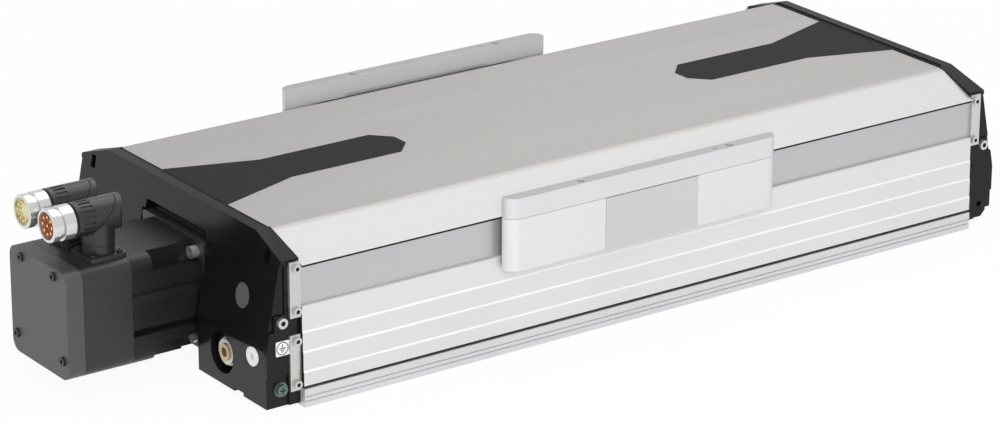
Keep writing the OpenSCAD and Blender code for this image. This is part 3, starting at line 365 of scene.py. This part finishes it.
# a panel's ledge faces take a painted highlight
LEDGE_UP, LEDGE_OUT = 0.2, 0.3           # a panel's ledge, of Z and Y

TOP_WITHIN = MM                          # below a piece's highest point
PANEL_SEAL_H = 1.9 * MM                  # height of the dark seal at a panel's foot
# SEAM_H is the height of the dark line painted as shade at the wing's seam
BAR_STEP, SEAM_H = 0.3 * MM, 0.5 * MM    # the wing's bar above the guides; its seam


def finish_cap(node):
    """End cap with a duller, cast upper side."""
    def choose(at, normal):
        return "dull_cap" if normal.z > CAP_TOP_UP else None

    rounded(node, CAP_EDGE, choose=choose, extra=("dull_cap",))


def finish_cover(node):
    """Cover whose sloping sides are painted a little brighter, as painted light, and more
    neutral than its top.
    """
    def choose(at, normal):
        slope = normal.z > SLOPE_UP and abs(normal.y) > SLOPE_OUT
        return "painted_lit_slope" if slope else None

    rounded(node, COVER_EDGE, choose=choose, extra=("painted_lit_slope",))


def finish_panel(node):
    """Side panel whose ledges and top face carry a painted highlight, with dark seals along its
    foot and at its ends.
    """
    low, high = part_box(node)
    seal_top = low.z + PANEL_SEAL_H

    def choose(at, normal):
        if at.z < seal_top or abs(normal.x) > STRAIGHT:
            return "black_rubber"
        # ledges and the panel's top face get the painted highlight
        ledge = abs(normal.z) > LEDGE_UP and abs(normal.y) > LEDGE_OUT
        top = normal.z > STRAIGHT and at.z > high.z - TOP_WITHIN
        return "painted_highlight_edge" if ledge or top else None

    rounded(node, PANEL_EDGE, angle=LEDGE_ANGLE, heights=(seal_top,), choose=choose,
            extra=("painted_highlight_edge", "black_rubber"))


def finish_wing(node):
    """Wing with painted shade: darker top faces, and a dark line at the seam between its duller
    middle plate and the bar.
    """
    top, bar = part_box(node)[1].z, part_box("strip_guides")[1].z + BAR_STEP

    def choose(at, normal):
        if abs(normal.y) > STRAIGHT and at.z < bar:
            # a dark band along the seam, painted shade
            return "dark_steel" if at.z > bar - SEAM_H else "dull_plate"
        # the top faces are painted darker, painted shade
        return "shaded_wing_top" if normal.z > STRAIGHT and at.z > top - TOP_WITHIN else None

    rounded(node, WING_EDGE, heights=(bar - SEAM_H, bar), choose=choose,
            extra=("dull_plate", "dark_steel", "shaded_wing_top"))


for node, width in PLAIN_EDGES.items():
    rounded(node, width)
finish_cap("front_end_cap")
finish_cap("rear_end_cap")
finish_cover("top_cover")
for side in MIRROR:
    finish_panel(side + "_side_panel")
for side in MIRROR:
    finish_wing(side + "_wing")


# ---------------------------------------------------------------- CAD nodes, two finishes

SMOOTH_BELOW = math.radians(30)
COLLAR_L = 5.2 * MM
# socket faces within these bounds take painted shade
SOCKET_SHARE = 0.31                             # its radius, of the head's width
SOCKET_FROM, SOCKET_TO = 0.05 * MM, 2.5 * MM    # below the head's top


def two_finishes(node, bm, finish):
    """Stands for a CAD node, with a second finish on the faces marked with index 1."""
    for face in bm.faces:
        face.smooth = True
    for edge in bm.edges:
        if len(edge.link_faces) == 2:
            edge.smooth = edge.calc_face_angle() < SMOOTH_BELOW
    stand_for(add_object(node + "_finish", bm, MATS[FINISH_OF[node]], MATS[finish]), node)


def collared_barrel(node):
    """Connector barrel with a black collar at its rear."""
    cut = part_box(node)[1].x - COLLAR_L
    bm = bmesh.new()
    bm.from_mesh(clean_mesh(node))
    cut_faces(bm, (cut, 0, 0), (1, 0, 0))
    for face in bm.faces:
        face.material_index = 1 if face.calc_center_median().x > cut else 0
    two_finishes(node, bm, "connector_black")


def solids_of(bm):
    """The faces of each separate solid."""
    left = set(bm.faces)
    while left:
        solid, queue = set(), [min(left, key=lambda f: f.index)]
        while queue:
            face = queue.pop()
            if face in left:
                left.remove(face)
                solid.add(face)
                queue += [f for v in face.verts for f in v.link_faces]
        yield solid


def painted_shade_sockets(node):
    """Screws along Y whose sockets are painted dark, as painted shade."""
    bm = bmesh.new()
    bm.from_mesh(clean_mesh(node))
    bm.faces.index_update()
    for solid in solids_of(bm):
        points = [v.co for f in solid for v in f.verts]
        x0, x1 = min(p.x for p in points), max(p.x for p in points)
        z0, z1 = min(p.z for p in points), max(p.z for p in points)
        head_top = max(abs(p.y) for p in points)
        for face in solid:
            at = face.calc_center_median()
            off_axis = math.hypot(at.x - (x0 + x1) / 2, at.z - (z0 + z1) / 2)
            within = off_axis < SOCKET_SHARE * (x1 - x0)
            sunk = SOCKET_FROM < head_top - abs(at.y) < SOCKET_TO
            # socket faces take dark_steel as painted shade
            face.material_index = 1 if within and sunk else 0
    two_finishes(node, bm, "dark_steel")


for side in MIRROR:
    collared_barrel(side + "_connector_barrel")
painted_shade_sockets("clamp_screws")
painted_shade_sockets("side_screws")


# ---------------------------------------------------------------- strip seals

STRIP_T = 0.4 * MM
STRIP_LIP = 2.4 * MM       # height of the dark lip along the top edge
LIP_SIDES = 1, 2, 3        # sides of the strip's section that are the lip
STRIP_LEAD = 3 * MM        # from the wing's end to the bow's start
STRIP_RUN_IN = 44 * MM     # length over which the bow leaves the slot
STRIP_STEPS = 8


def band(name, path, z0, z1, flip):
    """A thin upright strip along a plan path, outer face towards -Y, or +Y if flipped."""
    bm = bmesh.new()
    z_lip = z1 - STRIP_LIP
    rows = []
    for x, y in path:
        y_out = y - STRIP_T
        section = ((y, z0), (y, z_lip), (y, z1), (y_out, z1), (y_out, z_lip), (y_out, z0))
        rows.append([bm.verts.new((x, flip * q[0], q[1])) for q in section])
    for a, b in zip(rows, rows[1:]):
        for i, face in enumerate(join_rings(bm, a, b)):
            face.material_index = 1 if i in LIP_SIDES else 0
    bm.faces.new(rows[0])
    bm.faces.new(rows[-1][::-1])
    bmesh.ops.recalc_face_normals(bm, faces=bm.faces)
    return add_object(name, bm, MATS["strip_steel"], MATS["black_rubber"])


def strip_seal(side, flip):
    """A bow that rides on the carriage between two fixed flat runs."""
    node = side + "_seal_strip"
    low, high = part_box(node)
    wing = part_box(side + "_wing")
    y_flat = -min(abs(low.y), abs(high.y))
    y_bow = -(max(abs(low.y), abs(high.y)) - STRIP_T)
    x_in, x_out = wing[0].x + STRIP_LEAD, wing[1].x - STRIP_LEAD
    z = low.z, high.z
    rise = [(STRIP_RUN_IN * i / STRIP_STEPS, (1 - math.cos(math.pi * i / STRIP_STEPS)) / 2)
            for i in range(STRIP_STEPS + 1)]
    path = [(x_in + d, y_flat + t * (y_bow - y_flat)) for d, t in rise]
    path += [(x_out - d, y_flat + t * (y_bow - y_flat)) for d, t in reversed(rise)]
    front = band(side + "_strip_front", [(low.x, y_flat), (x_in, y_flat)], *z, flip)
    middle = band(side + "_strip_bow", path, *z, flip)
    rear = band(side + "_strip_rear", [(x_out, y_flat), (high.x, y_flat)], *z, flip)
    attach(middle, "carriage")
    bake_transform(front)
    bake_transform(rear)
    for piece in (front, middle, rear):
        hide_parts(node)


for side, flip in MIRROR.items():
    strip_seal(side, flip)


# ---------------------------------------------------------------- small parts

CORD_HALF_L = 87.4 * MM                    # half a cord's length, along Y
CORD_UP, CORD_H = 0.55 * MM, 0.7 * MM      # its top above the cover; its height
CORD_FROM, CORD_TO = 0.2 * MM, 2.6 * MM    # along X, outward from the cover's end
CORD_R = 0.5 * MM

LABEL_SIZE, LABEL_T, LABEL_R = 9.6 * MM, 0.15 * MM, 0.8 * MM
LABEL_FORWARD, LABEL_Z = 12.6 * MM, 40.7 * MM    # from the cover's end; above the base
INK_W, INK_TOP, INK_FOOT = 0.6 * MM, 1.5, 0.9    # line width; heights in label thicknesses
EARTH_STEM = 2.9 * MM
EARTH_BARS = ((0.2, 4.8), (-1.0, 3.2), (-2.2, 1.6))    # height and width in millimetres
EARTH_RING_R, EARTH_TURNS = 3.75 * MM, 32

ROUND_STEPS, ROUND_PROFILE = 3, 0.5
ON_PLANE = 1e-6    # metres within which a point is on a plane


def add_box(bm, low, high):
    made = bmesh.ops.create_cube(bm, size=1.0)["verts"]
    low, high = Vector(low), Vector(high)
    for v in made:
        v.co = Vector(((low[i] + high[i]) / 2 + v.co[i] * (high[i] - low[i]) for i in range(3)))
    return made


def round_edges(bm, corners, radius, wanted):
    """Rounds those edges between the corners for whose two ends wanted() holds."""
    edges = [e for e in bm.edges
             if all(v in corners for v in e.verts) and wanted(*(v.co for v in e.verts))]
    bmesh.ops.bevel(bm, geom=edges, offset=radius, segments=ROUND_STEPS, affect="EDGES",
                    profile=ROUND_PROFILE)


def cover_seals():
    """Rubber cords in the grooves between the cover and the end caps."""
    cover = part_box("top_cover")
    top = cover[1].z + CORD_UP

    def on_top(a, b):
        return abs(a.z - top) < ON_PLANE and abs(b.z - top) < ON_PLANE

    bm, corners = bmesh.new(), []
    for x, out in ((cover[0].x, -1), (cover[1].x, 1)):
        x0, x1 = sorted((x + out * CORD_FROM, x + out * CORD_TO))
        corners += add_box(bm, (x0, -CORD_HALF_L, top - CORD_H), (x1, CORD_HALF_L, top))
    round_edges(bm, corners, CORD_R, on_top)
    seal = add_object("cover_end_seals", bm, MATS["black_rubber"])
    seal.data.shade_smooth()
    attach(seal, "frame")


def earth_label():
    """White label with the generic earth sign on the driving cap's side."""
    face_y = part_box("front_end_cap")[0].y
    cx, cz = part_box("top_cover")[0].x - LABEL_FORWARD, LABEL_Z
    half, ink = LABEL_SIZE / 2, INK_W
    bm = bmesh.new()
    y0, y1 = face_y - INK_TOP * LABEL_T, face_y - INK_FOOT * LABEL_T
    add_box(bm, (cx - ink / 2, y0, cz), (cx + ink / 2, y1, cz + EARTH_STEM))
    for z, width in EARTH_BARS:
        add_box(bm, (cx - width / 2 * MM, y0, cz + z * MM - ink / 2),
                (cx + width / 2 * MM, y1, cz + z * MM + ink / 2))
    section = ((EARTH_RING_R, y1), (EARTH_RING_R, y0),
               (EARTH_RING_R + ink, y0), (EARTH_RING_R + ink, y1))
    rows = []
    for i in range(EARTH_TURNS):
        a = 2 * math.pi * i / EARTH_TURNS
        rows.append([bm.verts.new((cx + r * math.cos(a), y, cz + r * math.sin(a)))
                     for r, y in section])
    for i in range(EARTH_TURNS):
        join_rings(bm, rows[i], rows[(i + 1) % EARTH_TURNS])
    for face in bm.faces:
        face.material_index = 1
    plate = add_box(bm, (cx - half, face_y - LABEL_T, cz - half), (cx + half, face_y, cz + half))
    round_edges(bm, plate, LABEL_R, lambda a, b: abs(a.y - b.y) > LABEL_T / 2)
    bmesh.ops.recalc_face_normals(bm, faces=bm.faces)
    label = add_object("earth_label", bm, MATS["white_plastic"], MATS["label_ink"])
    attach(label, "frame")


cover_seals()
earth_label()


# ---------------------------------------------------------------- camera, stage and lamps

# Azimuth from -Y towards +X, elevation and roll.
CAM_AZ, CAM_EL, CAM_ROLL = math.radians(-35.51), math.radians(20.4), math.radians(0.19)
CAM_TARGET = Vector((-35.8, 0, 40.3)) * MM
CAM_DISTANCE = 2602 * MM
CAM_LENS, SENSOR = 139.9, 36.0    # millimetres
CAM_CLIP = 0.05, 50    # metres

WORLD_LIGHT = 0.45     # strength of the world's white light
BACKDROP_GREY = 0.8    # what is seen of the world
FLOOR_HALF = 6         # half the floor's side, in metres
FLOOR_GAP = 0.2 * MM
FLOOR_GREY, FLOOR_ROUGH, FLOOR_SPEC = 0.93, 0.9, 0.1
FLOOR_GLOW = 0.93      # share of plain white in what the camera sees of the floor

LAMP_AIM = Vector((0, 0, 0.05))
LAMPS = (    # name, place and side in metres, power in watts, whether it shows in gloss
    ("key", (-0.9, -2.0, 1.1), 1.4, 42, False),
    ("side", (-2.2, -0.3, 0.5), 1.2, 11, False),
    ("top", (0.95, 0.5, 1.85), 2.0, 18.5, True),
)


def add_camera():
    back = Vector((math.sin(CAM_AZ) * math.cos(CAM_EL), -math.cos(CAM_AZ) * math.cos(CAM_EL),
                   math.sin(CAM_EL)))
    right = Vector((0, 0, 1)).cross(back).normalized()
    up = back.cross(right)
    c, s = math.cos(CAM_ROLL), math.sin(CAM_ROLL)
    turned = Matrix((right * c + up * s, up * c - right * s, back)).transposed()
    cam = bpy.data.cameras.new("camera")
    cam.lens, cam.sensor_width = CAM_LENS, SENSOR
    cam.clip_start, cam.clip_end = CAM_CLIP
    obj = link_object("camera", cam)
    obj.matrix_world = Matrix.Translation(CAM_TARGET + back * CAM_DISTANCE) @ turned.to_4x4()
    bpy.context.scene.camera = obj


def add_lamp(name, place, side, power, glossy):
    lamp = bpy.data.lights.new(name, "AREA")
    lamp.shape, lamp.size, lamp.energy = "SQUARE", side, power
    obj = link_object(name, lamp)
    obj.location = place
    obj.rotation_euler = (LAMP_AIM - Vector(place)).to_track_quat("-Z", "Y").to_euler()
    obj.visible_glossy = glossy


def seen_directly(tree):
    """1 for camera, glossy and transmitted rays, and 0 for the rays that light things."""
    path = tree.nodes.new("ShaderNodeLightPath")
    seen = path.outputs["Is Camera Ray"]
    for kind in ("Is Glossy Ray", "Is Transmission Ray"):
        either = tree.nodes.new("ShaderNodeMath")
        either.operation = "MAXIMUM"
        link(tree, seen, either.inputs[0])
        link(tree, path.outputs[kind], either.inputs[1])
        seen = either.outputs[0]
    return seen


def mix_shaders(tree, fac, lit, plain, target):
    """Sends the target the lit shader where fac is 0 and the plain one where it is 1."""
    mix = tree.nodes.new("ShaderNodeMixShader")
    link(tree, fac, mix.inputs["Fac"])
    link(tree, lit.outputs[0], mix.inputs[1])
    link(tree, plain.outputs[0], mix.inputs[2])
    link(tree, mix.outputs[0], tree.nodes[target].inputs["Surface"])


def add_world():
    """Soft white light that is seen as a pale plain backdrop."""
    world = bpy.data.worlds.new("studio")
    world.use_nodes = True
    tree = world.node_tree
    plain = tree.nodes.new("ShaderNodeBackground")
    plain.inputs["Color"].default_value = (BACKDROP_GREY, BACKDROP_GREY, BACKDROP_GREY, 1)
    plain.inputs["Strength"].default_value = 1.0
    lit = tree.nodes["Background"]
    lit.inputs["Color"].default_value = (1, 1, 1, 1)
    lit.inputs["Strength"].default_value = WORLD_LIGHT
    mix_shaders(tree, seen_directly(tree), lit, plain, "World Output")
    bpy.context.scene.world = world


def add_floor():
    """Pale floor that is seen nearly white and keeps a faint shadow of the part."""
    mat, tree, bsdf = new_material("floor")
    bsdf.inputs["Base Color"].default_value = (FLOOR_GREY, FLOOR_GREY, FLOOR_GREY, 1)
    bsdf.inputs["Roughness"].default_value = FLOOR_ROUGH
    bsdf.inputs["Specular IOR Level"].default_value = FLOOR_SPEC
    share = tree.nodes.new("ShaderNodeMath")
    share.operation = "MULTIPLY"
    share.inputs[1].default_value = FLOOR_GLOW
    link(tree, seen_directly(tree), share.inputs[0])
    glow = tree.nodes.new("ShaderNodeEmission")
    mix_shaders(tree, share.outputs[0], bsdf, glow, "Material Output")
    bm = bmesh.new()
    bmesh.ops.create_grid(bm, x_segments=1, y_segments=1, size=FLOOR_HALF)
    floor = add_object("floor", bm, mat)
    floor.location.z = CAD_BOX[0][2] - FLOOR_GAP


add_camera()
add_world()
add_floor()
for lamp in LAMPS:
    add_lamp(*lamp)
bpy.context.scene.view_settings.view_transform = "Standard"
